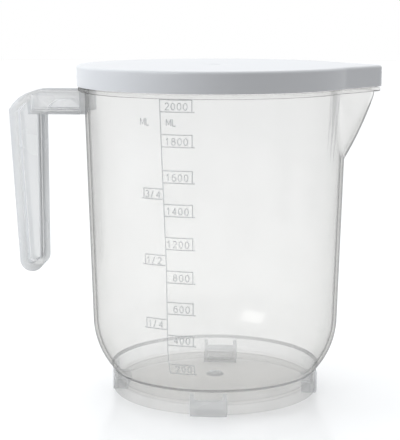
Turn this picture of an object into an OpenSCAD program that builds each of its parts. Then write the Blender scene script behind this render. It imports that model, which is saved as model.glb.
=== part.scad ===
// Two-litre measuring jug with a snap-on lid, a V-shaped pouring spout and a hook handle.
// +Z is up, +X points to the spout and -X to the handle. The origin is on the surface that
// the four feet stand on, half-way between the handle's corner and the tip of the lid.
// The jug is one moulding: its features are separate solids that meet face to face.

/* [Vessel] */
// Outside radius of the wall where the rounded bowl begins
body_r = 66.2; // [60:0.1:75]
// Height where the wall ends and the rounded bowl begins
bowl_z = 40; // [38:0.5:46]
// Radius of the rounded bowl
bowl_r = 41.5; // [40:0.5:44]
// How far the wall leans out for each mm of height
draft = 0.0287; // [0.01:0.001:0.04]
// Thickness of the wall, the bowl and the floor
wall_t = 1.7; // [1.2:0.1:2.4]
// Height of the underside of the floor
floor_z = 5.3; // [4:0.1:6]
// Height of the underside of the rim flange, where the wall ends
flange_z = 163.1; // [155:0.1:175]

/* [Rim and lid] */
// Thickness of the rim flange
flange_t = 2; // [1.5:0.1:3]
// How far the rim flange stands out from the rim
flange_out = 3.1; // [2:0.1:3.4]
// Height of the top of the lid
lid_z = 176.7; // [174:0.1:190]
// Thickness of the lid
lid_t = 1.6; // [1.2:0.1:2.4]
// How far the lid stands out from the rim
lid_out = 3.8; // [3.6:0.1:4.5]
// Height of the lid's skirt
skirt_h = 11; // [9:0.1:11.4]

/* [Spout] */
// Distance from the axis to the front edge of the spout at the rim
spout_x = 83.9; // [80:0.1:90]
// Height where the spout's front edge meets the wall
spout_z = 129; // [120:0.5:140]
// Angle between each side of the spout and the centre plane
spout_a = 52; // [48:1:54]
// Radius of the spout's front edge
spout_r = 4.5; // [3:0.1:6]

/* [Handle] */
// Width of the handle
handle_w = 20; // [16:0.5:24]
// Distance from the axis to the inner face of the grip
grip_x = 92.25; // [88:0.25:96]
// Distance from the axis to the outer corner of the handle
corner_x = 109.6; // [106:0.1:114]
// Radius of the grip's rounded lower end
grip_end_r = 6.5; // [6:0.1:7]
// Height of the lowest point of the grip
grip_z = 65.2; // [55:0.1:80]
// Height of the underside of the arm
arm_z = 150.4; // [146:0.1:153]
// Radius of the arm's rounded outer corner
arm_r = 19.6; // [19:0.1:21]
// Thickness of the web in the middle of the handle
web_t = 3; // [2:0.5:5]

/* [Foot] */
// Outside radius of the foot ring
ring_r = 55.5; // [52:0.1:57]
// Height of the bottom of the foot ring
ring_z = 0.9; // [0.5:0.1:2]
// Width of each foot
foot_w = 19; // [14:0.5:24]
// How far each foot stands out from the foot ring
foot_out = 0.6; // [0.4:0.05:1.5]

/* [Scale] */
// Width of the raised lines and strokes
line_w = 0.5; // [0.4:0.1:0.8]
// How far the scale stands out from the wall
relief = 0.3; // [0.2:0.05:0.5]
// Height of the figures
figure_h = 3.8; // [3:0.1:4.4]

/* [Hidden] */
$fn = 96;

ring_t = 2;
foot_depth = 8.6;
foot_plate_h = 8.7;
post_t = 2;
post_h = 12;
sole_t = 1.6;
gate_d = 10;
gate_top_d = 7;
gate_lip = 0.8;
gate_h = 1.1;
gate_hollow = 0.5;
far = 150;

// The bowl is an arc that is tangent to the wall. It ends on the foot's upright side, which
// meets the floor in a square corner outside and a round one inside
lean = atan(draft);
bowl_c = [body_r - bowl_r * cos(lean), bowl_z + bowl_r * sin(lean)];
turn_a = acos((ring_r - bowl_c[0]) / bowl_r);
heel_r = 2.5;
heel_c = [ring_r - wall_t - heel_r, floor_z + wall_t + heel_r];
arc_steps = 12;

function wall_r(z) = body_r + (z - bowl_z) * draft;
function along(a, b, n) = [for (i = [0 : n]) a + (b - a) * i / n];
function on_arc(c, r, a) = c + r * [cos(a), -sin(a)];
function bowl_line(inset) = [
    for (a = along(lean, turn_a, arc_steps)) on_arc(bowl_c, bowl_r - inset, a)
];
function heel_line(inset) = inset > 0
    ? [for (a = along(0, 90, arc_steps)) on_arc(heel_c, heel_r, a)]
    : [[ring_r, floor_z], [heel_c[0], floor_z]];
function shoulder(inset, z) = [wall_r(z) - inset / cos(lean), z];
function side_line(inset, top) = concat(
    [shoulder(inset, top)],
    bowl_line(inset),
    heel_line(inset),
    [[0, floor_z + inset]]
);
function reversed(list) = [for (i = [len(list) - 1 : -1 : 0]) list[i]];

// The vessel's axis, placed so that the origin is in the middle of the whole length
axis_x = (corner_x - spout_x - lid_out) / 2;

// Rim: the wall's top edge, the flange and the lid all follow one plan, each at its own offset
rim_r = wall_r(flange_z);
nose_x = spout_x - spout_r;
blend_r = 20;
// The arcs overlap their neighbours a little, so that the outlines cross cleanly
blend_bite = 0.02;
side_d = nose_x * sin(spout_a) + spout_r;
blend_a = asin((side_d + blend_r) / (rim_r + blend_r)) - spout_a;
blend_c = (rim_r + blend_r) * [cos(blend_a), sin(blend_a)];
side_n = [sin(spout_a), cos(spout_a)];
clearance = 0.1;
panel_z = lid_z - lid_t;
rim_z = panel_z - clearance;
bead_out = 1.2;
bead_h = 1;
bead_z = panel_z - 3.6;
skirt_t = 1.4;
rib_in = bead_out + 0.2;
rib_z = bead_z - 2.2;
seal_gap = 0.25;
seal_t = 1.3;
seal_h = 5;

// The spout is a V whose sides fade into a wide round nose lower down
lip_h = 1;
nose_slope = (spout_x - wall_r(spout_z)) / (flange_z - lip_h - spout_z);
nose_lean = atan(nose_slope);
nose_wide_r = 26;

arm_root_t = 2.7;
arm_root_w = 35;
arm_root_h = 12;
outer_wall_t = 4.1;
flange_wall_t = 2.3;
grip_inner_t = 2;
grip_end_t = 3.5;
end_x = grip_x + grip_end_r;
end_z = grip_z + grip_end_r;
rib_x = 97.5;
rib_t = 2;
dee_x0 = 71.5;
dee_x1 = 89.7;
dee_h = 5.4;
dee_r = (dee_x1 - dee_x0) / 2 + 0.9;
dee_sink = 4;

volumes = [2000, 1800, 1600, 1400, 1200, 800, 600, 400, 200];
volume_z = [156.5, 139.4, 121.7, 105, 88.4, 71.5, 55.5, 39.4, 24];
fractions = ["3/4", "1/2", "1/4"];
fraction_z = [113.4, 80.1, 47.4];
unit_z = 150;
lean_z = 80;
scale_top = 162.9;
usual_box_h = 6;
low_box_h = 5.1;
low_box_z = 50;
spine_foot_a = -17.4;
spine_slope = 0.0283;
line_a = line_w / body_r * 180 / PI;
box_right_a = -5.6;
box_left_a = -27.6;
tail_a = 0.9;
figure_pitch = 3.1;
figure_half_w = 0.32;
figure_a = 2.6;
volume_gap = 1.3;
volume_unit_a = -15.6;
fraction_a = -25.6;
fraction_gap = 0.9;
fraction_unit_a = -27.4;

skin_line = side_line(0, flange_z);
function skin_r(z) = lookup(z, [for (p = skin_line) [p[1], p[0]]]);

// Angle of the scale's upright line, measured from the front, at a height
function spine_a(z) = spine_foot_a - max(0, z - lean_z) * spine_slope / wall_r(z) * 180 / PI;
function box_h(z) = z >= volume_z[0] ? scale_top - line_w - z : z < low_box_z ? low_box_h : usual_box_h;

// Points of an ellipse's arc, for the figures
function oval(c, rx, ry, a0, a1, n) = [
    for (a = along(a0, a1, n)) c + [rx * cos(a), ry * sin(a)]
];
function unit(v) = v / norm(v);
function left_of(v) = [-v[1], v[0]];
function side_at(p, i, w) =
    let (last = len(p) - 1)
    let (a = unit(p[min(i + 1, last)] - p[min(i, last - 1)]))
    let (b = unit(p[max(i, 1)] - p[max(i - 1, 0)]))
    let (m = left_of(unit(a + b)))
    m * w / 2 / max(0.5, m * left_of(a));
function ribbon(p, w) = concat(
    [for (i = [0 : len(p) - 1]) p[i] + side_at(p, i, w)],
    reversed([for (i = [0 : len(p) - 1]) p[i] - side_at(p, i, w)])
);

// Strokes of each character in a box one high
function strokes(ch) =
    ch == "1" ? [[[0.12, 0.72], [0.36, 1], [0.36, 0]]] :
    ch == "2" ? [concat(oval([0.31, 0.72], 0.27, 0.28, 170, -35, 7), [[0.04, 0], [0.62, 0]])] :
    ch == "3" ? [
        oval([0.3, 0.75], 0.25, 0.25, 160, -90, 8),
        oval([0.3, 0.26], 0.29, 0.26, 90, -160, 8)
    ] :
    ch == "4" ? [[[0.46, 0], [0.46, 1]], [[0.46, 1], [0.04, 0.3], [0.62, 0.3]]] :
    ch == "6" ? [oval([0.4, 0.5], 0.36, 0.5, 65, 190, 6)] :
    ch == "/" ? [[[0.02, -0.05], [0.4, 1.05]]] :
    ch == "M" ? [[[0.04, 0], [0.04, 1]], [[0.04, 1], [0.4, 0.2], [0.76, 1]], [[0.76, 1], [0.76, 0]]] :
    ch == "L" ? [[[0.06, 1], [0.06, 0], [0.56, 0]]] :
    [];
// Closed loops of each character, as centre and two radii
function loops(ch) =
    ch == "0" ? [[[0.32, 0.5], 0.28, 0.5]] :
    ch == "6" ? [[[0.33, 0.31], 0.29, 0.31]] :
    ch == "8" ? [[[0.32, 0.76], 0.23, 0.24], [[0.32, 0.27], 0.28, 0.27]] :
    [];

module on_axis() {
    translate([axis_x, 0, 0])
        children();
}

// The space inside the outer surface of the wall, the bowl and the floor
module vessel_fill() {
    rotate_extrude()
        polygon(concat(side_line(0, flange_z), [[0, flange_z]]));
}

// Plan of the spout's nose: a V with a round tip, open towards the axis
module nose_plan(d) {
    nose_r = spout_r + d;
    tip = [nose_x, 0];
    corner = tip + side_n * (nose_r - blend_bite);
    back = corner + [-cos(spout_a), sin(spout_a)] * 50;
    translate(tip)
        circle(r = nose_r, $fn = 60);
    polygon([corner, back, [back[0], -back[1]], [corner[0], -corner[1]]]);
}

// Plan of the rim at an offset: a circle, and the nose blended into it by concave arcs
module plan(d) {
    circle(r = rim_r + d, $fn = 180);
    difference() {
        intersection() {
            nose_plan(d);
            polygon([[0, 0], blend_c, [far, 0], [blend_c[0], -blend_c[1]]]);
        }
        for (s = [-1, 1])
            translate([blend_c[0], s * blend_c[1]])
                circle(r = blend_r - d + blend_bite, $fn = 120);
    }
}

module plan_ring(outer, inner, z, h) {
    translate([0, 0, z])
        linear_extrude(h)
            difference() {
                plan(outer);
                plan(inner);
            }
}

// The space that the spout takes up, drawn in by an inset
module spout_fill(inset) {
    top = inset > 0 ? flange_z + 1 : flange_z;
    intersection() {
        translate([0, 0, spout_z - 10])
            linear_extrude(top - spout_z + 10)
                nose_plan(-inset);
        translate([wall_r(spout_z), 0, spout_z])
            rotate([0, nose_lean, 0])
                translate([-nose_wide_r, 0, -far / 2])
                    cylinder(r = nose_wide_r - inset, h = far, $fn = 120);
    }
}

module vessel_wall() {
    color([0.93, 0.93, 0.91, 0.45])
        on_axis()
            difference() {
                rotate_extrude()
                    polygon([
                        shoulder(0, flange_z), bowl_line(0)[0],
                        bowl_line(wall_t)[0], shoulder(wall_t, flange_z)
                    ]);
                spout_fill(wall_t);
            }
}

module vessel_bowl() {
    color([0.92, 0.92, 0.9, 0.45])
        on_axis()
            rotate_extrude()
                polygon(concat(
                    bowl_line(0), heel_line(0), reversed(heel_line(wall_t)), reversed(bowl_line(wall_t))
                ));
}

module vessel_floor() {
    color([0.91, 0.9, 0.87, 0.5])
        on_axis()
            translate([0, 0, floor_z])
                cylinder(r = heel_c[0], h = wall_t);
}

module pouring_spout() {
    color([0.9, 0.9, 0.88, 0.5])
        on_axis()
            difference() {
                spout_fill(0);
                spout_fill(wall_t);
                vessel_fill();
            }
}

module rim() {
    color([0.9, 0.9, 0.9, 0.5])
        on_axis()
            plan_ring(0, -wall_t, flange_z, rim_z - flange_z);
}

module rim_flange() {
    color([0.85, 0.84, 0.82])
        on_axis()
            plan_ring(flange_out, 0, flange_z, flange_t);
}

module rim_bead() {
    color([0.85, 0.84, 0.82])
        on_axis()
            plan_ring(bead_out, 0, bead_z, bead_h);
}

// A band that lies on the wall, from one height to another
module wall_band(z0, z1, t) {
    rotate_extrude()
        polygon([
            [wall_r(z0), z0], [wall_r(z0) + t, z0],
            [wall_r(z1) + t, z1], [wall_r(z1), z1]
        ]);
}

module handle_root() {
    color([0.85, 0.84, 0.82])
        on_axis()
            intersection() {
                wall_band(flange_z - arm_root_h, flange_z, arm_root_t);
                translate([-far, -arm_root_w / 2, 0])
                    cube([far, arm_root_w, far * 2]);
            }
}

// Turns an outline drawn in X and Z into a plate across the handle
module across(w, y = 0) {
    translate([0, y + w / 2, 0])
        rotate([90, 0, 0])
            linear_extrude(w)
                children();
}

module both_pockets(web) {
    deep = (handle_w - web) / 2;
    for (s = [-1, 1])
        across(deep + 1, s * (web / 2 + (deep + 1) / 2))
            children();
}

// Side view of the whole handle, drawn in by an inset on the outer side
module handle_side(inset) {
    corner_a = acos((corner_x - inset - grip_x) / (arm_r - inset));
    polygon(concat(
        [[0, flange_z - inset]],
        oval([-grip_x, flange_z - arm_r], arm_r - inset, arm_r - inset, 90, 180 - corner_a, 10),
        oval([-end_x, end_z], grip_end_r - inset, grip_end_r - inset, 180, 360, 16),
        [[-grip_x, end_z], [-grip_x, arm_z], [0, arm_z]]
    ));
}

module handle_arm() {
    ceiling = flange_z - flange_wall_t;
    color([0.85, 0.84, 0.82])
        on_axis()
            difference() {
                across(handle_w)
                    intersection() {
                        handle_side(0);
                        translate([-far, arm_z])
                            square(far);
                    }
                rotate_extrude()
                    polygon([
                        [0, arm_z - 1],
                        [wall_r(arm_z - 1) + arm_root_t, arm_z - 1],
                        [wall_r(flange_z) + arm_root_t, flange_z],
                        [0, flange_z]
                    ]);
                both_pockets(web_t)
                    intersection() {
                        handle_side(outer_wall_t);
                        translate([-far, arm_z - 1])
                            square([far - rib_x - rib_t, ceiling - arm_z + 1]);
                    }
                both_pockets(handle_w / 2)
                    translate([-rib_x, arm_z + flange_wall_t])
                        square([rib_x - dee_x0, ceiling - arm_z - flange_wall_t]);
                both_pockets(web_t)
                    intersection() {
                        translate([-dee_x1, arm_z + flange_wall_t])
                            square([dee_x1 - dee_x0, dee_h]);
                        translate([-(dee_x0 + dee_x1) / 2, arm_z + flange_wall_t - dee_sink])
                            circle(r = dee_r, $fn = 90);
                    }
            }
}

module handle_grip() {
    color([0.88, 0.87, 0.85])
        on_axis()
            difference() {
                across(handle_w)
                    intersection() {
                        handle_side(0);
                        translate([-far, 0])
                            square([far, arm_z]);
                    }
                both_pockets(web_t)
                    intersection() {
                        handle_side(outer_wall_t);
                        translate([-far, grip_z + grip_end_t])
                            square([far - grip_x - grip_inner_t, far]);
                    }
            }
}

// One foot, centred on +X: two posts, an outer plate and a sole
module foot() {
    outer_r = ring_r + foot_out;
    intersection() {
        cylinder(r = outer_r, h = far, $fn = 180);
        difference() {
            translate([outer_r - foot_depth, -foot_w / 2, 0])
                cube([foot_depth, foot_w, post_h]);
            translate([outer_r - foot_depth - 1, -foot_w / 2 + post_t, sole_t])
                cube([foot_depth - 1, foot_w - 2 * post_t, far]);
            translate([0, -foot_w / 2 + post_t, foot_plate_h])
                cube([far, foot_w - 2 * post_t, far]);
            vessel_fill();
        }
    }
}

module foot_ring() {
    color([0.9, 0.89, 0.86])
        on_axis()
            difference() {
                rotate_extrude()
                    polygon([
                        [ring_r - ring_t, ring_z], [ring_r, ring_z],
                        [ring_r, floor_z], [ring_r - ring_t, floor_z]
                    ]);
                for (a = [0 : 90 : 270])
                    rotate([0, 0, a])
                        translate([ring_r - foot_depth, -foot_w / 2, -1])
                            cube([far, foot_w, far]);
            }
}

module placed_foot(a) {
    color([0.8, 0.79, 0.77])
        on_axis()
            rotate([0, 0, a])
                foot();
}

module foot_front() {
    placed_foot(-90);
}

module foot_right() {
    placed_foot(0);
}

module foot_back() {
    placed_foot(90);
}

module foot_left() {
    placed_foot(180);
}

// The low cone with a hollow top that the moulding gate leaves on the floor
module gate_mark() {
    color([0.8, 0.79, 0.77])
        on_axis()
            translate([0, 0, floor_z + wall_t])
                difference() {
                    cylinder(d1 = gate_d, d2 = gate_top_d, h = gate_h, $fn = 48);
                    translate([0, 0, gate_h - gate_hollow])
                        cylinder(d = gate_top_d - 2 * gate_lip, h = gate_h, $fn = 48);
                }
}

// A raised patch on the outside of the wall and bowl, between two angles from the front
module patch(a0, a1, z0, z1) {
    levels = concat([z1], [for (p = skin_line) if (p[1] < z1 && p[1] > z0) p[1]], [z0]);
    rotate([0, 0, a0 - 90])
        rotate_extrude(angle = a1 - a0)
            polygon(concat(
                [for (z = levels) [skin_r(z), z]],
                reversed([for (z = levels) [skin_r(z) + relief, z]])
            ));
}

// A space cut through the scale, between two angles and two heights
module window(a0, a1, z0, z1) {
    rotate([0, 0, a0 - 90])
        rotate_extrude(angle = a1 - a0)
            translate([body_r - 20, z0])
                square([40, z1 - z0]);
}

// Everything on the handle's side of the spine, up to an edge beside its middle line. The
// spine is upright below lean_z, and leans towards the handle above it
module left_of_spine(edge) {
    top = scale_top + 2;
    rotate([0, 0, spine_foot_a - 90])
        translate([body_r - 20, 0, 0])
            rotate([90, 0, 90])
                linear_extrude(40)
                    polygon([
                        [-far, 0], [edge, 0], [edge, lean_z],
                        [edge - (top - lean_z) * spine_slope, top], [-far, top]
                    ]);
}

// The spine and the boxes of the volumes: one raised patch with its spaces cut out
module scale_lines() {
    low = volume_z[len(volume_z) - 1];
    left_a = spine_a(scale_top) - 1;
    right_a = box_right_a + tail_a;
    color([0.6, 0.6, 0.58])
        on_axis()
            difference() {
                patch(left_a, right_a, low, scale_top);
                left_of_spine(-line_w / 2);
                difference() {
                    for (i = [0 : len(volume_z) - 1]) {
                        z = volume_z[i];
                        top = z + box_h(z);
                        above = i == 0 ? scale_top + 1 : volume_z[i - 1];
                        window(left_a - 1, box_right_a - line_a, z + line_w, top);
                        window(box_right_a, right_a + 1, z + line_w, above);
                        if (i > 0)
                            window(left_a - 1, box_right_a + tail_a / 2, top + line_w, above);
                    }
                    left_of_spine(line_w / 2);
                }
            }
}

// The box of one fraction, which starts just clear of the spine
module fraction_box(z) {
    top = z + low_box_h;
    right_a = spine_a(top) - line_a * 0.75;
    left_a = box_left_a - tail_a;
    difference() {
        patch(left_a, right_a, z, top + line_w);
        window(box_left_a + line_a, right_a + 1, z + line_w, top);
        window(left_a - 1, box_left_a, z + line_w, top + 1);
    }
}

// How far the skin leans back from upright at a height
function skin_lean(z) = z >= bowl_z ? lean : asin((bowl_c[1] - z) / bowl_r);

// One character standing on the skin, its foot at a height and its middle at an angle
module figure(ch, a, z) {
    mid = z + figure_h / 2;
    rotate([0, 0, a])
        translate([0, -skin_r(mid), mid])
            rotate([90 + skin_lean(mid), 0, 0])
                translate([-figure_half_w * figure_h, -figure_h / 2, 0])
                    linear_extrude(relief) {
                        for (p = strokes(ch))
                            polygon(ribbon(p * (figure_h - line_w), line_w));
                        for (e = loops(ch))
                            ring_figure(e * (figure_h - line_w));
                    }
}

module ring_figure(e) {
    n = 20;
    edge = concat(
        [for (i = [0 : n - 1]) e[0] + [e[1] + line_w / 2, 0] * cos(360 * i / n)
            + [0, e[2] + line_w / 2] * sin(360 * i / n)],
        [for (i = [0 : n - 1]) e[0] + [e[1] - line_w / 2, 0] * cos(360 * i / n)
            + [0, e[2] - line_w / 2] * sin(360 * i / n)]
    );
    polygon(edge, [[for (i = [0 : n - 1]) i], [for (i = [0 : n - 1]) n + i]]);
}

// Characters from left to right, starting with the middle of the first at an angle
module figures(s, a, z) {
    step = figure_pitch / skin_r(z) * 180 / PI;
    for (i = [0 : len(s) - 1])
        figure(s[i], a + step * i, z);
}

module scale_volumes() {
    color([0.55, 0.55, 0.53])
        on_axis() {
            for (i = [0 : len(volumes) - 1]) {
                s = str(volumes[i]);
                figures(s, box_right_a - figure_a * len(s), volume_z[i] + volume_gap);
            }
            figures("ML", volume_unit_a, unit_z);
        }
}

module scale_fractions() {
    color([0.55, 0.55, 0.53])
        on_axis() {
            for (z = fraction_z)
                fraction_box(z);
            for (i = [0 : len(fractions) - 1])
                figures(fractions[i], fraction_a, fraction_z[i] + fraction_gap);
            figures("ML", fraction_unit_a, unit_z);
        }
}

module lid_panel() {
    color([0.96, 0.96, 0.97])
        on_axis()
            translate([0, 0, panel_z])
                linear_extrude(lid_t)
                    plan(lid_out);
}

module lid_skirt() {
    color([0.94, 0.94, 0.96])
        on_axis()
            plan_ring(lid_out, lid_out - skirt_t, lid_z - skirt_h, skirt_h - lid_t);
}

// The rib inside the skirt that snaps under the rim's bead
module lid_rib() {
    color([0.9, 0.9, 0.92])
        on_axis()
            plan_ring(lid_out - skirt_t, rib_in, rib_z, bead_h);
}

// The ring that fits inside the rim
module lid_seal() {
    color([0.9, 0.9, 0.92])
        on_axis()
            plan_ring(-wall_t - seal_gap, -wall_t - seal_gap - seal_t, panel_z - seal_h, seal_h);
}

vessel_wall();
vessel_bowl();
vessel_floor();
pouring_spout();
rim();
rim_flange();
rim_bead();
handle_root();
handle_arm();
handle_grip();
foot_ring();
foot_front();
foot_right();
foot_back();
foot_left();
gate_mark();
scale_lines();
scale_volumes();
scale_fractions();
lid_panel();
lid_skirt();
lid_rib();
lid_seal();
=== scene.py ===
import math

import bmesh
import bpy
from mathutils import Euler, Matrix, Vector


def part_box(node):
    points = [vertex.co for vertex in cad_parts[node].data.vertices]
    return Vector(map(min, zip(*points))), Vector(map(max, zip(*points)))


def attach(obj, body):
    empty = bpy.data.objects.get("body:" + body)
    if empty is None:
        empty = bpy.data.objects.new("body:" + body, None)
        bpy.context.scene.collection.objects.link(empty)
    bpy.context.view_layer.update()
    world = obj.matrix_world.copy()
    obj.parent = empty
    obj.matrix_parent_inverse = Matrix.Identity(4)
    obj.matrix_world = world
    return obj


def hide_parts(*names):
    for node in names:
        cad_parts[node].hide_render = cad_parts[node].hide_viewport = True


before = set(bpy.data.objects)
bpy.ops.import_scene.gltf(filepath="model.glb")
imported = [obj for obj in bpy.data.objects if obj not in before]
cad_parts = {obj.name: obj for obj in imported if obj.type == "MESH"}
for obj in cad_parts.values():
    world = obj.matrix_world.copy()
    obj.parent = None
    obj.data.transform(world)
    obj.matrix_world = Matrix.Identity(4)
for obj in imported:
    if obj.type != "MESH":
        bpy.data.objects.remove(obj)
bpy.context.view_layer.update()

# The jug is drawn in millimetres about its own axis, and put in its place by new_object.
# +X is the spout, -X the handle and +Z up.
MM = 0.001
AXIS = (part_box("foot_ring")[0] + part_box("foot_ring")[1]) / 2
AXIS.y = AXIS.z = 0


def node_size(name):
    """Lowest and highest corner of a CAD node, in millimetres from the jug's axis."""
    low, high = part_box(name)
    return (low - AXIS) / MM, (high - AXIS) / MM


# Heights and lengths that the CAD nodes give
FLOOR_Z = node_size("vessel_floor")[0].z
RING_Z = node_size("foot_ring")[0].z
SPOUT_TIP = node_size("pouring_spout")[1].x
RIM_TOP = node_size("rim")[1].z
FLANGE_TOP = node_size("rim_flange")[1].z
BEAD_LOW, BEAD_HIGH = [corner.z for corner in node_size("rim_bead")]
LID_TOP = node_size("lid_panel")[1].z
PANEL_Z = node_size("lid_panel")[0].z
SKIRT_Z = node_size("lid_skirt")[0].z
RIB_LOW, RIB_HIGH = [corner.z for corner in node_size("lid_rib")]
SEAL_Z = node_size("lid_seal")[0].z
ROOT_SIZE = node_size("handle_root")[1] - node_size("handle_root")[0]

# The vessel: a wall that leans out by DRAFT for each millimetre of height, on a round bowl
WALL = 1.7
BODY_R = 66.2
BOWL_Z = 40.0
BOWL_R = 41.5
FLANGE_Z = 163.1
DRAFT = 0.0287
LEAN = math.atan(DRAFT)
RING_R = 55.5
RING_T = 2.0
BOWL_C = (BODY_R - BOWL_R * math.cos(LEAN), BOWL_Z + BOWL_R * math.sin(LEAN))

# The bowl turns down into the foot ring's side at TURN, outside, and meets the floor in a
# round corner inside
TURN = math.acos((RING_R - BOWL_C[0]) / BOWL_R)
TURN_Z = BOWL_C[1] - BOWL_R * math.sin(TURN)
HEEL_R = 2.5
HEEL_C = (RING_R - WALL - HEEL_R, FLOOR_Z + WALL + HEEL_R)

# The spout: a V with a round nose, cut by a wide round front that leans out and bulges a little
NOSE_R = 4.5
NOSE_X = SPOUT_TIP - NOSE_R
SIDE_A = math.radians(38)
BLEND_R = 20.0
FRONT_R = 26.0
SPOUT_Z = 127.0
LIP_H = 1.0
BULGE = 1.2
FADE_Z = 3.0

# The lid: its skirt's thickness, its rib and seal as offsets from the rim's plan, its edge's
# radius and the depth of the dimple in its top
SKIRT_T = 1.4
RIB_IN = 1.4
SEAL_OUT, SEAL_IN = -1.95, -3.25
LID_EDGE_R = 1.5
DIMPLE = 0.35

# The handle and the feet: how far they go into the shell that they are moulded to, how near it
# a corner counts as touching it, and how far their edges are rounded
SINK = 0.6
FOOT_NEAR, HANDLE_NEAR = 0.1, 0.5
FOOT_EDGE, HANDLE_EDGE = 0.4, 0.45

# Steps in the arcs of the bowl, the heel and small rounded corners
BOWL_STEPS, HEEL_STEPS, CORNER_STEPS = 18, 8, 4

# Edges are shaded smooth below the first angle. On copies of CAD nodes, edges above the second
# are rounded.
SMOOTH_BELOW = math.radians(32)
SHARP_ABOVE = math.radians(35)


def wall_r(z):
    """Outside radius of the wall at a height."""
    return BODY_R + (z - BOWL_Z) * DRAFT


RIM_R = wall_r(FLANGE_Z)
FRONT_SLOPE = (SPOUT_TIP - wall_r(SPOUT_Z)) / (FLANGE_Z - LIP_H - SPOUT_Z)


def spout_rise(z):
    """How far up the spout a height is, from 0 at its foot to 1 at the flange."""
    return min(1.0, max(0.0, (z - SPOUT_Z) / (FLANGE_Z - SPOUT_Z)))


# ---------------------------------------------------------------- outlines

def smooth_max(a, b, width):
    """The larger of two lengths, with a round blend where they are closer than width."""
    near = max(0.0, 1 - abs(a - b) / width) if width > 0 else 0.0
    return max(a, b) + near * near * width / 4


def smooth_min(a, b, width):
    """The smaller of two lengths, blended in the same way."""
    return -smooth_max(-a, -b, width)


def nose_r(angle, offset):
    """Distance from the axis to the V-shaped nose's outline, in a direction from +X."""
    a = abs(angle)
    tip_r = NOSE_R + offset
    touch = math.atan2(tip_r * math.sin(SIDE_A), NOSE_X + tip_r * math.cos(SIDE_A))
    if a < touch:
        return NOSE_X * math.cos(a) + math.sqrt(tip_r ** 2 - (NOSE_X * math.sin(a)) ** 2)
    if a < math.pi / 2:
        return (NOSE_X * math.cos(SIDE_A) + tip_r) / math.cos(a - SIDE_A)
    return 0.0


def rim_outline(angle, offset):
    """The plan of the rim and the lid: a circle and a nose, joined by concave arcs."""
    a = abs(angle)
    blend = BLEND_R - offset
    side = NOSE_X * math.cos(SIDE_A) + NOSE_R
    centre_a = SIDE_A - math.acos((side + BLEND_R) / (RIM_R + BLEND_R))
    centre = (RIM_R + BLEND_R) * Vector((math.cos(centre_a), math.sin(centre_a)))
    touch = centre - blend * Vector((math.cos(SIDE_A), math.sin(SIDE_A)))
    if a >= centre_a:
        return RIM_R + offset
    if a <= math.atan2(touch.y, touch.x):
        return nose_r(a, offset)
    reach = centre.x * math.cos(a) + centre.y * math.sin(a)
    return reach - math.sqrt(max(0.0, blend ** 2 - centre.length_squared + reach ** 2))


def front_r(angle, z, inset):
    """Distance from the axis to the spout's wide round front, a leaning cylinder: the far
    root of a quadratic, or 0 where the direction misses it."""
    stretch = math.hypot(1, FRONT_SLOPE)
    rise = spout_rise(z)
    tip = wall_r(SPOUT_Z) + (z - SPOUT_Z) * FRONT_SLOPE + 4 * BULGE * rise * (1 - rise)
    long, short = (FRONT_R - inset) * stretch, FRONT_R - inset
    cx = tip - FRONT_R * stretch
    c, s = math.cos(angle), math.sin(angle)
    qa = (c / long) ** 2 + (s / short) ** 2
    qb = -c * cx / long ** 2
    qc = (cx / long) ** 2 - 1
    under = qb * qb - qa * qc
    if under < 0 or c <= 0:
        return 0.0
    return (-qb + math.sqrt(under)) / qa


def jug_outline(angle, z, inset):
    """Distance from the axis to the wall or the spout, at a height."""
    if z > FLANGE_Z:
        return rim_outline(angle, -inset)
    wall = skin_r(z, inset)
    if z < SPOUT_Z - FADE_Z:
        return wall
    rise = spout_rise(z)
    nose = smooth_min(nose_r(angle, -inset), front_r(angle, z, inset), FADE_Z * (1 - rise))
    return smooth_max(wall, nose, 0.25 + 0.55 * rise)


def arc(centre, radius, start, end, steps):
    """Points of an arc as distance from the axis and height, turning down from outwards."""
    turns = [start + (end - start) * i / steps for i in range(steps + 1)]
    return [(centre[0] + radius * math.cos(a), centre[1] - radius * math.sin(a)) for a in turns]


# The bowl's outside and inside, by how far they are drawn in
BOWL_LINES = {
    0: arc(BOWL_C, BOWL_R, LEAN, TURN, BOWL_STEPS),
    WALL: (
        arc(BOWL_C, BOWL_R - WALL, LEAN, TURN, BOWL_STEPS)
        + arc(HEEL_C, HEEL_R, 0, math.pi / 2, HEEL_STEPS)
    ),
}


def skin_r(z, inset):
    """Radius of the wall or bowl at a height, drawn in by the wall's thickness or not."""
    line = BOWL_LINES[inset]
    if z >= line[0][1]:
        return wall_r(z) - inset / math.cos(LEAN)
    for (r0, z0), (r1, z1) in zip(line, line[1:]):
        if z1 <= z <= z0:
            return r0 + (r1 - r0) * (z0 - z) / (z0 - z1)
    return line[-1][0]


# ---------------------------------------------------------------- meshes

def spans(*stops):
    """Values from a list of (end, count) steps, starting at the first stop."""
    values = [stops[0]]
    for end, count in stops[1:]:
        start = values[-1]
        values += [start + (end - start) * (i + 1) / count for i in range(count)]
    return values


def around():
    """Directions round the axis, finer at the spout."""
    half = spans(0.0, (32.0, 64), (180.0, 74))
    angles = [math.radians(a) for a in half]
    return angles + [-a for a in reversed(angles[1:-1])]


ANGLES = around()


def new_object(name, bm, material):
    """Makes a smooth piece from a mesh that is drawn in millimetres about the jug's axis."""
    bmesh.ops.recalc_face_normals(bm, faces=bm.faces)
    bm.transform(Matrix.Translation(AXIS) @ Matrix.Scale(MM, 4))
    mesh = bpy.data.meshes.new(name)
    bm.to_mesh(mesh)
    bm.free()
    for polygon in mesh.polygons:
        polygon.use_smooth = True
    mesh.set_sharp_from_angle(angle=SMOOTH_BELOW)
    mesh.materials.append(material)
    piece = bpy.data.objects.new(name, mesh)
    bpy.context.scene.collection.objects.link(piece)
    return piece


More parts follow.
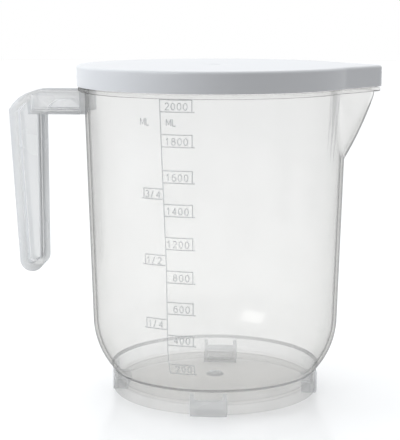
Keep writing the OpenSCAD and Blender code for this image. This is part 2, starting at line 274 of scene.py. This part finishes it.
def present(piece, body, slot, *nodes):
    """Ties a piece to its body, in place of some CAD nodes. The slot is not used."""
    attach(piece, body)
    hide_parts(*nodes)


def ring_mesh(rows, centre_low, centre_high):
    """A closed surface from rows of points round the axis, closed by a point at each end."""
    bm = bmesh.new()
    rings = [[bm.verts.new(p) for p in row] for row in rows]
    count = len(rings[0])
    for a, b in zip(rings, rings[1:]):
        for i in range(count):
            j = (i + 1) % count
            bm.faces.new((a[i], a[j], b[j], b[i]))
    for ring, z in ((rings[0], centre_low), (rings[-1], centre_high)):
        pole = bm.verts.new((0, 0, z))
        for i in range(count):
            bm.faces.new((ring[i], ring[(i + 1) % count], pole))
    return bm


def polar_row(radius, z):
    """A row of points; radius is a function of the direction."""
    return [(radius(a) * math.cos(a), radius(a) * math.sin(a), z) for a in ANGLES]


def circle_row(radius, z):
    """A row of points on a circle."""
    return polar_row(lambda a: radius, z)


def rounded(corners):
    """The outline through corners of (across, height, radius), each but the ends rounded."""
    points = [Vector(corner[:2]) for corner in corners]
    out = [tuple(points[0])]
    for a, p, b, (_, _, r) in zip(points, points[1:], points[2:], corners[1:]):
        u, v = (a - p).normalized(), (b - p).normalized()
        half = u.angle(v) / 2
        start, end = p + u * r / math.tan(half), p + v * r / math.tan(half)
        centre = p + (u + v).normalized() * r / math.sin(half)
        for i in range(CORNER_STEPS + 1):
            mid = start.lerp(end, i / CORNER_STEPS) - centre
            out.append(tuple(centre + mid.normalized() * r))
    out.append(tuple(points[-1]))
    return out


# Radii of the rows that fill the floor, under it and on it
UNDER_RADII = (6, 12, 20, 28, 36, 44, 51)
FLOOR_RADII = (44, 36, 28, 20, 12, 6)


def foot_profile():
    """The jug's outline from under the floor, round the foot ring and up to the bowl."""
    ring_in = RING_R - RING_T
    return rounded([
        (UNDER_RADII[-1], FLOOR_Z, 0), (ring_in, FLOOR_Z, 0.7), (ring_in, RING_Z, 0.6),
        (RING_R, RING_Z, 0.6), (RING_R, TURN_Z, 1.2), (*BOWL_LINES[0][-2], 0),
    ])


def rim_profile():
    """The flange, the bead and the rim's edge, as offsets from the rim's plan."""
    flange = node_offset("rim_flange")
    bead = node_offset("rim_bead")
    return rounded([
        (0, FLANGE_Z, 0), (flange, FLANGE_Z, 0.5), (flange, FLANGE_TOP, 0.5), (0, FLANGE_TOP, 0.4),
        (0, BEAD_LOW, 0.3), (bead, BEAD_LOW, 0.35), (bead, BEAD_HIGH, 0.35), (0, BEAD_HIGH, 0.3),
        (0, RIM_TOP, 0.4), (-WALL, RIM_TOP, 0.4), (-WALL, FLANGE_Z + 0.5, 0),
    ])


def jug_rows():
    """Rows of the jug's shell, from under the floor, up the outside and down the inside."""
    rows = [circle_row(r, FLOOR_Z) for r in UNDER_RADII]
    rows += [circle_row(r, z) for r, z in foot_profile()]
    rows += [circle_row(r, z) for r, z in reversed(BOWL_LINES[0][:-2])]
    heights = spans(
        BOWL_Z, (SPOUT_Z - 4, 10), (SPOUT_Z - 1, 3), (SPOUT_Z + 8, 18), (FLANGE_Z, 26),
    )[1:]
    rows += [polar_row(lambda a: jug_outline(a, z, 0), z) for z in heights]
    rows += [polar_row(lambda a: rim_outline(a, offset), z) for offset, z in rim_profile()[1:]]
    rows += [polar_row(lambda a: jug_outline(a, z, WALL), z) for z in reversed(heights[:-1])]
    rows += [circle_row(r, z) for r, z in BOWL_LINES[WALL]]
    rows += [circle_row(r, FLOOR_Z + WALL) for r in FLOOR_RADII]
    return rows


def node_offset(name):
    """How far a rim or lid node stands out from the rim's own outline."""
    return node_size(name)[1].y - RIM_R


# ---------------------------------------------------------------- materials

def shader_tree(name):
    """A new material and its empty node tree."""
    material = bpy.data.materials.new(name)
    material.use_nodes = True
    tree = material.node_tree
    tree.nodes.clear()
    return material, tree


def node(tree, kind, **values):
    """Adds a node and sets its properties."""
    made = tree.nodes.new(kind)
    for key, value in values.items():
        setattr(made, key, value)
    return made


def noise(tree, scale, detail, stretch=(1, 1, 1)):
    """Noise in the object's own frame, in features per metre."""
    coords = node(tree, "ShaderNodeTexCoord")
    mapping = node(tree, "ShaderNodeMapping")
    mapping.inputs["Scale"].default_value = stretch
    texture = node(tree, "ShaderNodeTexNoise")
    texture.inputs["Scale"].default_value = scale
    texture.inputs["Detail"].default_value = detail
    tree.links.new(coords.outputs["Object"], mapping.inputs["Vector"])
    tree.links.new(mapping.outputs["Vector"], texture.inputs["Vector"])
    return texture.outputs["Fac"]


def height(tree):
    """Height above the table, in metres."""
    coords = node(tree, "ShaderNodeTexCoord")
    split = node(tree, "ShaderNodeSeparateXYZ")
    tree.links.new(coords.outputs["Object"], split.inputs[0])
    return split.outputs["Z"]


def feed(tree, socket, value):
    """Gives a socket a number, or what another socket says."""
    if isinstance(value, (int, float)):
        socket.default_value = value
    else:
        tree.links.new(value, socket)


def amount(tree, value):
    """A number as it is, or the mesh attribute that a name stands for."""
    if isinstance(value, str):
        return node(tree, "ShaderNodeAttribute", attribute_name=value).outputs["Fac"]
    return value


def remap(tree, value, low, high, to_low, to_high):
    """A value moved from one range to another, and kept inside it."""
    made = node(tree, "ShaderNodeMapRange")
    names = ("Value", "From Min", "From Max", "To Min", "To Max")
    for name, end in zip(names, (value, low, high, to_low, to_high)):
        feed(tree, made.inputs[name], end)
    return made.outputs["Result"]


def maths(tree, operation, a, b):
    """A sum on two numbers or sockets."""
    made = node(tree, "ShaderNodeMath", operation=operation)
    for socket, value in zip(made.inputs, (a, b)):
        feed(tree, socket, value)
    return made.outputs[0]


def ramp(tree, value, stops):
    """Colours along a value, from a list of (place, grey or colour)."""
    made = node(tree, "ShaderNodeValToRGB")
    points = made.color_ramp.elements
    while len(points) < len(stops):
        points.new(0.5)
    for point, (place, colour) in zip(points, stops):
        point.position = place
        point.color = (*colour, 1) if isinstance(colour, tuple) else (colour, colour, colour, 1)
    tree.links.new(value, made.inputs["Fac"])
    return made.outputs["Color"]


def bump(tree, relief, strength, distance):
    """Normals of a fine relief that is too shallow to model."""
    made = node(tree, "ShaderNodeBump")
    made.inputs["Strength"].default_value = strength
    made.inputs["Distance"].default_value = distance
    tree.links.new(relief, made.inputs["Height"])
    return made.outputs["Normal"]


# Colours of the light that goes through a surface, high on the jug and low on it, where it is
# darker as painted shade, of the white film on it, of the painted glow for light scattered
# inside, and of thick plastic
WARM = (1.0, 0.998, 0.994)
LOW_SHADE = (0.986, 0.984, 0.978)
FILM = (0.905, 0.92, 0.94, 1)
GLOW = (0.93, 0.96, 1, 1)
DEPTH = (0.6, 0.585, 0.56, 1)

# The film is this many times as thick edge-on as its own number says, and this share of what
# it scatters goes on through it
FILM_EDGE = 2.8
FILM_THROUGH = 0.88

# The share of light that the surface's gloss takes, and what it gains edge-on
SHINE, SHINE_EDGE = 0.035, 0.22

# The range of a noise texture that its remaps and ramps use
NOISE_LOW, NOISE_HIGH = 0.3, 0.7


def film_opacity(tree, facing, cloud, film, uneven):
    """How much a surface's white film hides: more edge-on, and a little cloudy and streaky."""
    flow = noise(tree, 60, 2, (1, 1, 0.12))
    haze = maths(
        tree, "ADD",
        remap(tree, cloud, NOISE_LOW, NOISE_HIGH, 1 - uneven, 1 + uneven),
        remap(tree, flow, NOISE_LOW, NOISE_HIGH, -uneven / 2, uneven / 2),
    )
    thicker = ramp(tree, facing, [(0.0, 0.36), (0.5, 0.47), (0.8, 0.79), (1.0, 1.0)])
    hide = maths(tree, "MULTIPLY", thicker, maths(tree, "MULTIPLY", amount(tree, film), FILM_EDGE))
    return maths(tree, "MULTIPLY", hide, haze)


def milk(tree, grain, glow):
    """The white film: light scattered forwards and back, and a painted glow for light scattered
    inside the plastic.
    """
    body = node(tree, "ShaderNodeMixShader")
    body.inputs[0].default_value = FILM_THROUGH
    front = node(tree, "ShaderNodeBsdfDiffuse")
    behind = node(tree, "ShaderNodeBsdfTranslucent")
    for shader, socket in ((front, body.inputs[1]), (behind, body.inputs[2])):
        shader.inputs["Color"].default_value = FILM
        tree.links.new(grain, shader.inputs["Normal"])
        tree.links.new(shader.outputs[0], socket)
    # Painted light: an emission that stands for light scattered inside the plastic.
    inner = node(tree, "ShaderNodeEmission")
    inner.inputs["Color"].default_value = GLOW
    inner.inputs["Strength"].default_value = glow
    both = node(tree, "ShaderNodeAddShader")
    tree.links.new(body.outputs[0], both.inputs[0])
    tree.links.new(inner.outputs[0], both.inputs[1])
    return both.outputs[0]


def see_through(tree, facing, painted_rim_shade, rim_from):
    """What goes through a surface, with painted shade: darker at the outlines, and a little darker
    low on the jug.
    """
    # Painted shade: what goes through darkens towards the outlines.
    outline = remap(tree, facing, amount(tree, rim_from), 1.0, 0.0, 1.0)
    light = maths(tree, "SUBTRACT", 1.0, maths(tree, "MULTIPLY", outline, amount(tree, painted_rim_shade)))
    tint = node(tree, "ShaderNodeVectorMath", operation="MULTIPLY")
    tree.links.new(light, tint.inputs[0])
    # Painted shade: what goes through is a little darker low on the jug, most at 2 cm up.
    low_shade = ramp(tree, height(tree), [(0.008, WARM), (0.02, LOW_SHADE), (0.14, WARM)])
    tree.links.new(low_shade, tint.inputs[1])
    clear = node(tree, "ShaderNodeBsdfTransparent")
    tree.links.new(tint.outputs[0], clear.inputs["Color"])
    return clear.outputs[0]


def mix_shaders(tree, share, first, second):
    """Two shaders, with the second one's share."""
    made = node(tree, "ShaderNodeMixShader")
    for socket, value in zip(made.inputs, (share, first, second)):
        tree.links.new(value, socket)
    return made.outputs[0]


def clear_plastic(
    name, film, density, painted_rim_shade, rim_from=0.75, glow=0.0, gloss_rough=0.1, uneven=0.2,
):
    """Milky, see-through polypropylene. Its surface carries a thin white film, and what is
    seen through it darkens with the thickness of plastic in the way, and with painted shade at
    its outlines. The glow is painted light for light scattered inside thick pieces. The film,
    and how dark and how wide the painted outlines are, can be numbers or names of mesh attributes."""
    material, tree = shader_tree(name)
    layer = node(tree, "ShaderNodeLayerWeight")
    layer.inputs["Blend"].default_value = 0.5
    facing = layer.outputs["Facing"]
    cloud = noise(tree, 28, 3)
    grain = bump(tree, noise(tree, 900, 2), 0.08, 0.0002)
    veil = mix_shaders(
        tree,
        film_opacity(tree, facing, cloud, film, uneven),
        see_through(tree, facing, painted_rim_shade, rim_from),
        milk(tree, grain, glow),
    )
    gloss = node(tree, "ShaderNodeBsdfGlossy")
    feed(
        tree, gloss.inputs["Roughness"],
        remap(tree, cloud, NOISE_LOW, NOISE_HIGH, gloss_rough * 0.8, gloss_rough * 1.3),
    )
    tree.links.new(grain, gloss.inputs["Normal"])
    edge = maths(tree, "POWER", facing, 4.0)
    shine = maths(tree, "ADD", maths(tree, "MULTIPLY", edge, SHINE_EDGE), SHINE)
    out = node(tree, "ShaderNodeOutputMaterial")
    tree.links.new(mix_shaders(tree, shine, veil, gloss.outputs[0]), out.inputs["Surface"])
    depth = node(tree, "ShaderNodeVolumeAbsorption")
    depth.inputs["Color"].default_value = DEPTH
    depth.inputs["Density"].default_value = density
    tree.links.new(depth.outputs[0], out.inputs["Volume"])
    return material


def lid_plastic():
    """Opaque white moulded plastic with a satin skin."""
    material, tree = shader_tree("lid_white")
    link = tree.links.new
    base = node(tree, "ShaderNodeBsdfPrincipled")
    mottle = noise(tree, 40, 4)
    fine = noise(tree, 1400, 3)
    whites = [(NOISE_LOW, (0.83, 0.84, 0.862)), (NOISE_HIGH, (0.84, 0.847, 0.868))]
    link(ramp(tree, mottle, whites), base.inputs["Base Color"])
    link(remap(tree, mottle, NOISE_LOW, NOISE_HIGH, 0.29, 0.32), base.inputs["Roughness"])
    base.inputs["IOR"].default_value = 1.49
    link(bump(tree, fine, 0.04, 0.0001), base.inputs["Normal"])
    out = node(tree, "ShaderNodeOutputMaterial")
    link(base.outputs[0], out.inputs["Surface"])
    return material


# The glow values below are painted light, strongest in the feet.
shell = clear_plastic("clear_pp", "film", 45, "painted_rim_shade", rim_from="rim_from")
thick = clear_plastic("clear_pp_thick", 0.3, 30, 0.1, glow=0.02, uneven=0.05, gloss_rough=0.25)
footing = clear_plastic("clear_pp_foot", 0.27, 10, 0.0, uneven=0.05, glow=0.14, gloss_rough=0.25)
marks = clear_plastic("clear_pp_marks", 0.38, 60, 0.3, gloss_rough=0.25)
white = lid_plastic()


# ---------------------------------------------------------------- the jug

# The looks of the shell's parts: the white film, how much the outlines darken with painted shade,
# and where that starts, from 0 face-on to 1 edge-on. From below 0, a surface is darker from every
# side.
WALL_LOOK = (0.046, 0.7, 0.8)
SIDE_LOOK = (0.1, 0.12, 0.75)
FLOOR_LOOK = (0.03, 0.1, 0.75)
# Painted shade: the spout's front darkens strongly towards its outlines, for its dark front line.
NOSE_LOOK = (0.04, 1.0, 0.55)
INSIDE_LOOK = (0.035, 0.0, 0.8)
# Painted shade: the fold between the spout's side and the wall is greyer and darkens from nearly
# face-on.
FOLD_LOOK = (0.11, 0.25, 0.3)
# Painted shade: a dark line where the bowl turns into the foot ring, dark from every side.
TURN_LOOK = (0.16, 0.8, -0.4)

# Half the height of the painted dark line where the bowl turns, half the width of the spout's
# front line of painted shade, and how near its side and the wall are in the fold of painted shade
# between them, at the flange
TURN_HALF = 0.8
NOSE_HALF = NOSE_R * 1.2
FOLD = 0.8


def spout_look(x, y, z):
    """The look at a point between the spout's sides, above its foot."""
    across, angle = math.hypot(x, y), math.atan2(y, x)
    if abs(wall_r(z) - nose_r(angle, 0)) < FOLD * spout_rise(z):
        return FOLD_LOOK
    outer, inner = jug_outline(angle, z, 0), jug_outline(angle, z, WALL)
    if outer < wall_r(z) + 0.5:
        return WALL_LOOK
    if across < (outer + inner) / 2:
        return INSIDE_LOOK
    return NOSE_LOOK if abs(y) < NOSE_HALF else WALL_LOOK


def look_at(x, y, z):
    """The look at a point of the jug's surface."""
    across = math.hypot(x, y)
    if abs(z - TURN_Z) < TURN_HALF and across > RING_R - TURN_HALF:
        return TURN_LOOK
    if z < TURN_Z + 0.3:
        return SIDE_LOOK if across > HEEL_C[0] else FLOOR_LOOK
    if x < 0 and abs(y) < ROOT_SIZE.y / 2 and FLANGE_Z - ROOT_SIZE.z < z < FLANGE_Z:
        return INSIDE_LOOK
    if SPOUT_Z <= z <= FLANGE_Z + 0.5 and abs(math.atan2(y, x)) <= SIDE_A:
        return spout_look(x, y, z)
    return WALL_LOOK


def make_jug():
    """The jug's shell, with the look of each of its faces in mesh attributes."""
    bm = ring_mesh(jug_rows(), FLOOR_Z, FLOOR_Z + WALL)
    jug = new_object("jug_shell", bm, shell)
    looks = [look_at(*((polygon.center - AXIS) / MM)) for polygon in jug.data.polygons]
    for name, values in zip(("film", "painted_rim_shade", "rim_from"), zip(*looks)):
        jug.data.attributes.new(name, "FLOAT", "FACE").data.foreach_set("value", values)
    present(
        jug, "jug", "clear_plastic",
        "vessel_wall", "vessel_bowl", "vessel_floor", "pouring_spout",
        "rim", "rim_flange", "rim_bead", "foot_ring",
    )


def lid_profile():
    """The lid's edge, skirt, rib and seal, as offsets from the rim's plan."""
    out = node_offset("lid_skirt")
    skirt = out - SKIRT_T
    return rounded([
        (-4, LID_TOP, 0), (out, LID_TOP, LID_EDGE_R), (out, SKIRT_Z, 0.35), (skirt, SKIRT_Z, 0.35),
        (skirt, RIB_LOW, 0.3), (RIB_IN, RIB_LOW, 0.4), (RIB_IN, RIB_HIGH, 0.4),
        (skirt, RIB_HIGH, 0.3), (skirt, PANEL_Z, 0.5), (SEAL_OUT, PANEL_Z, 0.4),
        (SEAL_OUT, SEAL_Z, 0.45), (SEAL_IN, SEAL_Z, 0.45), (SEAL_IN, PANEL_Z, 0.4),
        (SEAL_IN - 3, PANEL_Z, 0),
    ])


def lid_rows():
    """Rows of the lid, from the dimple in the middle of its top to the middle of its underside."""
    top = [(2.2, DIMPLE), (3.2, DIMPLE - 0.05), (3.8, 0), (12, 0), (30, 0), (50, 0)]
    rows = [circle_row(r, LID_TOP - dip) for r, dip in top]
    rows += [polar_row(lambda a: rim_outline(a, offset), z) for offset, z in lid_profile()]
    rows += [circle_row(r, PANEL_Z) for r in (50, 30, 12, 3)]
    return rows


def make_lid():
    """The whole lid as one shell."""
    bm = ring_mesh(lid_rows(), LID_TOP - DIMPLE, PANEL_Z)
    lid = new_object("lid_shell", bm, white)
    present(lid, "lid", "lid_plastic", "lid_panel", "lid_skirt", "lid_rib", "lid_seal")


def merge_flat(bm):
    """Makes each flat face whole."""
    bmesh.ops.dissolve_limit(bm, angle_limit=math.radians(1), verts=bm.verts, edges=bm.edges)


def node_mesh(name):
    """A copy of a CAD node's shape in millimetres about the jug's axis, with flat faces whole."""
    bm = bmesh.new()
    bm.from_mesh(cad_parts[name].data)
    bm.transform(Matrix.Scale(1 / MM, 4) @ Matrix.Translation(-AXIS))
    bmesh.ops.remove_doubles(bm, verts=bm.verts, dist=1e-4)
    merge_flat(bm)
    return bm


def round_edges(bm, width, where):
    """Rounds the sharp edges whose ends both pass a test."""
    sharp = [
        e for e in bm.edges
        if e.is_manifold and e.calc_face_angle() > SHARP_ABOVE and all(where(v) for v in e.verts)
    ]
    bmesh.ops.bevel(
        bm, geom=sharp, offset=width, offset_type="OFFSET", segments=3, profile=0.5,
        affect="EDGES", clamp_overlap=True,
    )


def radius_of(vertex):
    """A vertex's distance from the jug's axis."""
    return math.hypot(vertex.co.x, vertex.co.y)


def sink(vertex):
    """Moves a vertex towards the axis, into the shell."""
    share = 1 - SINK / radius_of(vertex)
    vertex.co.x *= share
    vertex.co.y *= share


def make_foot(side):
    """A foot in its CAD shape. Where it meets the jug it goes a little way into it."""
    bm = node_mesh("foot_" + side)
    for v in bm.verts:
        if abs(radius_of(v) - RING_R) < FOOT_NEAR and v.co.z > FLOOR_Z - FOOT_NEAR:
            sink(v)
        if abs(v.co.z - FLOOR_Z) < FOOT_NEAR:
            v.co.z += SINK
    clear = 2 * FOOT_NEAR
    round_edges(bm, FOOT_EDGE, lambda v: radius_of(v) > RING_R + clear or v.co.z < FLOOR_Z - clear)
    foot = new_object("foot_" + side + "_round", bm, footing)
    present(foot, "jug", "clear_plastic", "foot_" + side)


def join(a, b):
    """One closed mesh from two that touch or overlap."""
    objects = []
    for bm in (a, b):
        mesh = bpy.data.meshes.new("joining")
        bm.to_mesh(mesh)
        bm.free()
        made = bpy.data.objects.new("joining", mesh)
        bpy.context.scene.collection.objects.link(made)
        objects.append(made)
    modifier = objects[0].modifiers.new("union", "BOOLEAN")
    modifier.operation = "UNION"
    modifier.solver = "EXACT"
    modifier.object = objects[1]
    result = bmesh.new()
    result.from_object(objects[0], bpy.context.evaluated_depsgraph_get())
    for made in objects:
        mesh = made.data
        bpy.data.objects.remove(made)
        bpy.data.meshes.remove(mesh)
    return result


def make_handle():
    """The handle's three CAD shapes in one, rounded, its root a little way into the wall."""
    root = node_mesh("handle_root")
    for v in root.verts:
        if radius_of(v) < wall_r(v.co.z) + HANDLE_NEAR:
            sink(v)
    bm = join(join(node_mesh("handle_grip"), node_mesh("handle_arm")), root)
    merge_flat(bm)
    round_edges(bm, HANDLE_EDGE, lambda v: radius_of(v) > wall_r(v.co.z) + HANDLE_NEAR)
    handle = new_object("handle", bm, thick)
    present(handle, "jug", "clear_plastic", "handle_root", "handle_arm", "handle_grip")


def dress(nodes, material):
    """Gives CAD nodes a material."""
    for name in nodes:
        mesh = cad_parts[name].data
        mesh.materials.clear()
        mesh.materials.append(material)


make_jug()
for side in ("front", "right", "back", "left"):
    make_foot(side)
make_handle()
make_lid()
dress(["gate_mark"], footing)
dress(["scale_lines", "scale_volumes", "scale_fractions"], marks)


# ---------------------------------------------------------------- stage

def make_floor():
    """A pale floor with a faint reflection. It lights the matt surfaces above it less."""
    mesh = bpy.data.meshes.new("floor")
    half = 4.0
    corners = [(-half, -half, 0), (half, -half, 0), (half, half, 0), (-half, half, 0)]
    mesh.from_pydata(corners, [], [(0, 1, 2, 3)])
    floor = bpy.data.objects.new("floor", mesh)
    bpy.context.scene.collection.objects.link(floor)
    material, tree = shader_tree("floor_white")
    base = node(tree, "ShaderNodeBsdfPrincipled")
    base.inputs["Base Color"].default_value = (0.96, 0.96, 0.96, 1)
    base.inputs["Roughness"].default_value = 0.18
    base.inputs["IOR"].default_value = 1.4
    base.inputs["Emission Color"].default_value = (1, 1, 1, 1)
    base.inputs["Emission Strength"].default_value = 0.15
    dim = node(tree, "ShaderNodeBsdfDiffuse")
    dim.inputs["Color"].default_value = (0.5, 0.5, 0.5, 1)
    path = node(tree, "ShaderNodeLightPath")
    both = mix_shaders(tree, path.outputs["Is Diffuse Ray"], base.outputs[0], dim.outputs[0])
    out = node(tree, "ShaderNodeOutputMaterial")
    tree.links.new(both, out.inputs["Surface"])
    mesh.materials.append(material)


def make_world():
    """A soft studio all round, brighter above and behind, and plain white to the camera."""
    world = bpy.data.worlds.new("studio")
    bpy.context.scene.world = world
    world.use_nodes = True
    tree = world.node_tree
    tree.nodes.clear()
    coords = node(tree, "ShaderNodeTexCoord")
    split = node(tree, "ShaderNodeSeparateXYZ")
    tree.links.new(coords.outputs["Generated"], split.inputs[0])
    level = 0.385
    slopes = {"X": -0.15, "Y": 0.49, "Z": 0.78}
    for axis, slope in slopes.items():
        level = maths(tree, "ADD", maths(tree, "MULTIPLY", split.outputs[axis], slope), level)
    level = maths(tree, "MAXIMUM", level, 0.1)
    light = node(tree, "ShaderNodeBackground")
    tree.links.new(level, light.inputs["Strength"])
    light.inputs["Color"].default_value = (0.97, 0.985, 1.0, 1)
    seen = node(tree, "ShaderNodeBackground")
    seen.inputs["Color"].default_value = (1, 1, 1, 1)
    seen.inputs["Strength"].default_value = 1.0
    path = node(tree, "ShaderNodeLightPath")
    both = mix_shaders(tree, path.outputs["Is Camera Ray"], light.outputs[0], seen.outputs[0])
    out = node(tree, "ShaderNodeOutputWorld")
    tree.links.new(both, out.inputs["Surface"])


def area_light(name, place, target, size, power, colour=(1, 1, 1), lights=True, shines=True):
    """A soft light. It can be left out of matt surfaces or out of reflections."""
    data = bpy.data.lights.new(name, "AREA")
    data.shape = "RECTANGLE"
    data.size, data.size_y = size
    data.energy = power
    data.color = colour
    lamp = bpy.data.objects.new(name, data)
    lamp.location = place
    lamp.visible_diffuse = lights
    lamp.visible_glossy = shines
    lamp.rotation_euler = (Vector(target) - Vector(place)).to_track_quat("-Z", "Y").to_euler()
    bpy.context.scene.collection.objects.link(lamp)


def make_camera():
    """A long lens a little above the lid, in front of the jug and a little to the spout's side."""
    data = bpy.data.cameras.new("camera")
    data.sensor_width = 36
    data.sensor_fit = "AUTO"
    data.lens = 107.15
    camera = bpy.data.objects.new("camera", data)
    camera.location = AXIS + Vector((0.0430, -0.6978, 0.2089))
    camera.rotation_euler = Euler((math.radians(80.58), 0, math.radians(4.20)))
    bpy.context.scene.collection.objects.link(camera)
    bpy.context.scene.camera = camera


make_floor()
make_world()
area_light("top_light", (-0.1, 0.15, 0.9), (0, 0, 0.1), (0.8, 0.8), 0.6)
area_light(
    "left_light", (-0.95, -0.25, 0.32), (0, 0, 0.12), (0.4, 0.6), 3.3, (0.92, 0.96, 1),
    shines=False,
)
area_light("window", (-0.52, -0.6, 0.52), (0, 0, 0.05), (0.38, 0.3), 1.5, lights=False)
make_camera()
bpy.context.scene.view_settings.view_transform = "Standard"
bpy.context.scene.cycles.transparent_max_bounces = 40
